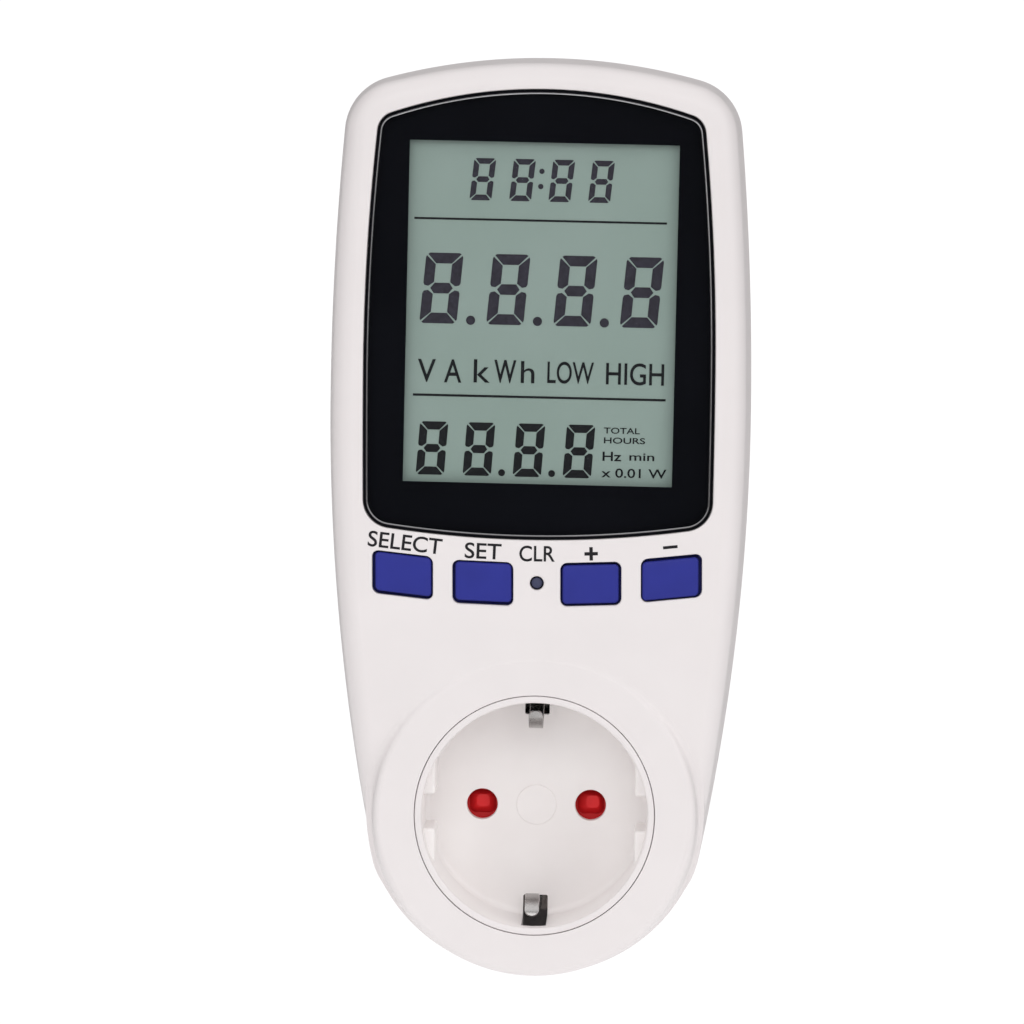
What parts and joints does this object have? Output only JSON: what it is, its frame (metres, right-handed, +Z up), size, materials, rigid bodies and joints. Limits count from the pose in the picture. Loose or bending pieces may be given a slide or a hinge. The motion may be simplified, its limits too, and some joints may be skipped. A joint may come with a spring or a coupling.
{
  "type": "plug-in power meter",
  "caption": "Wall-plug power meter: an earthed plug behind, an earthed socket in front, and a tall display window with oblong keys above it.",
  "frame": {"origin": "centre of the plug's end face, on the shared axis of plug and socket", "axes": "+Y along the plug pins, away from the user; +Z up from the socket to the display; +X to the user's right"},
  "size_m": [0.0734, 0.0755, 0.1601],
  "materials": {
    "housing": "warm white ABS, fine satin texture",
    "insert": "white satin plastic",
    "window": "black-edged polished acrylic window",
    "keys": "blue satin plastic",
    "carbon": "carbon-loaded silicone",
    "silicone": "translucent grey silicone",
    "cell": "grey-green liquid crystal cell",
    "zebra": "layered conductive rubber",
    "film": "white reflector film",
    "board": "green solder mask on glass-epoxy",
    "chip": "black moulded epoxy",
    "crystal": "drawn can",
    "film_cap": "yellow box",
    "can": "dark sleeve",
    "varistor": "blue epoxy dip",
    "resistor": "pale blue lacquer",
    "manganin": "bare copper-manganese strip",
    "battery": "green shrink sleeve",
    "wire_brown": "brown insulation",
    "wire_blue": "blue insulation",
    "shutter": "red plastic",
    "steel": "zinc plated",
    "brass": "sprung brass",
    "nickel": "bright nickel plating",
    "holder": "dark heat-resistant plastic"
  },
  "bodies": {
    "housing": {"front_cover": "housing", "rear_cover": "housing", "display_window": "window", "lcd_cell": "cell", "lcd_frame": "insert", "lcd_reflector": "film", "contact_strip_upper": "zebra", "contact_strip_lower": "zebra", "keypad_sheet": "silicone", "main_board": "board", "metering_chip": "chip", "processor_chip": "chip", "crystal": "crystal", "dropper_capacitor": "film_cap", "capacitor_large": "can", "capacitor_small": "can", "varistor": "varistor", "dropper_resistor": "resistor", "shunt": "manganin", "backup_battery": "battery", "socket_insert": "insert", "shutter_spring": "steel", "contact_block": "holder", "contact_line": "brass", "contact_neutral": "brass", "earth_bridge": "nickel", "plug_body": "housing", "pin_line": "nickel", "pin_neutral": "nickel", "plug_earth_upper": "nickel", "plug_earth_lower": "nickel", "earth_sleeve": "nickel", "wire_line_in": "wire_brown", "wire_line_out": "wire_brown", "wire_neutral": "wire_blue", "case_screw_1": "steel", "case_screw_2": "steel", "case_screw_3": "steel", "case_screw_4": "steel", "board_screw_1": "steel", "board_screw_2": "steel"},
    "mode_key": {"key_mode": "keys", "pill_mode": "carbon"},
    "set_key": {"key_set": "keys", "pill_set": "carbon"},
    "up_key": {"key_up": "keys", "pill_up": "carbon"},
    "down_key": {"key_down": "keys", "pill_down": "carbon"},
    "reset_key": {"key_reset": "keys", "pill_reset": "carbon"},
    "shutter_plate": {"shutter": "shutter"},
    "upper_earth": {"earth_clip_upper": "nickel"},
    "lower_earth": {"earth_clip_lower": "nickel"}
  },
  "joints": [
    {"name": "mode_key_press", "type": "slide", "parent": "housing", "child": "mode_key", "axis": [0, 1, 0], "range_m": [0, 0.0008], "stiffness_N_per_m": 600},
    {"name": "set_key_press", "type": "slide", "parent": "housing", "child": "set_key", "axis": [0, 1, 0], "range_m": [0, 0.0008], "stiffness_N_per_m": 600},
    {"name": "up_key_press", "type": "slide", "parent": "housing", "child": "up_key", "axis": [0, 1, 0], "range_m": [0, 0.0008], "stiffness_N_per_m": 600},
    {"name": "down_key_press", "type": "slide", "parent": "housing", "child": "down_key", "axis": [0, 1, 0], "range_m": [0, 0.0008], "stiffness_N_per_m": 600},
    {"name": "reset_key_press", "type": "slide", "parent": "housing", "child": "reset_key", "axis": [0, 1, 0], "range_m": [0, 0.0006], "stiffness_N_per_m": 600},
    {"name": "shutter_turn", "type": "hinge", "parent": "housing", "child": "shutter_plate", "pos_m": [0, -0.0353, 0], "axis": [0, 1, 0], "range_deg": [0, 42], "stiffness_Nm_per_rad": 0.002, "deforming": ["shutter_spring"]},
    {"name": "upper_earth_flex", "type": "hinge", "parent": "housing", "child": "upper_earth", "pos_m": [0, -0.0237, 0.0184], "axis": [-1, 0, 0], "range_deg": [0, 6.2], "stiffness_Nm_per_rad": 0.5},
    {"name": "lower_earth_flex", "type": "hinge", "parent": "housing", "child": "lower_earth", "pos_m": [0, -0.0237, -0.0184], "axis": [1, 0, 0], "range_deg": [0, 6.2], "stiffness_Nm_per_rad": 0.5}
  ]
}
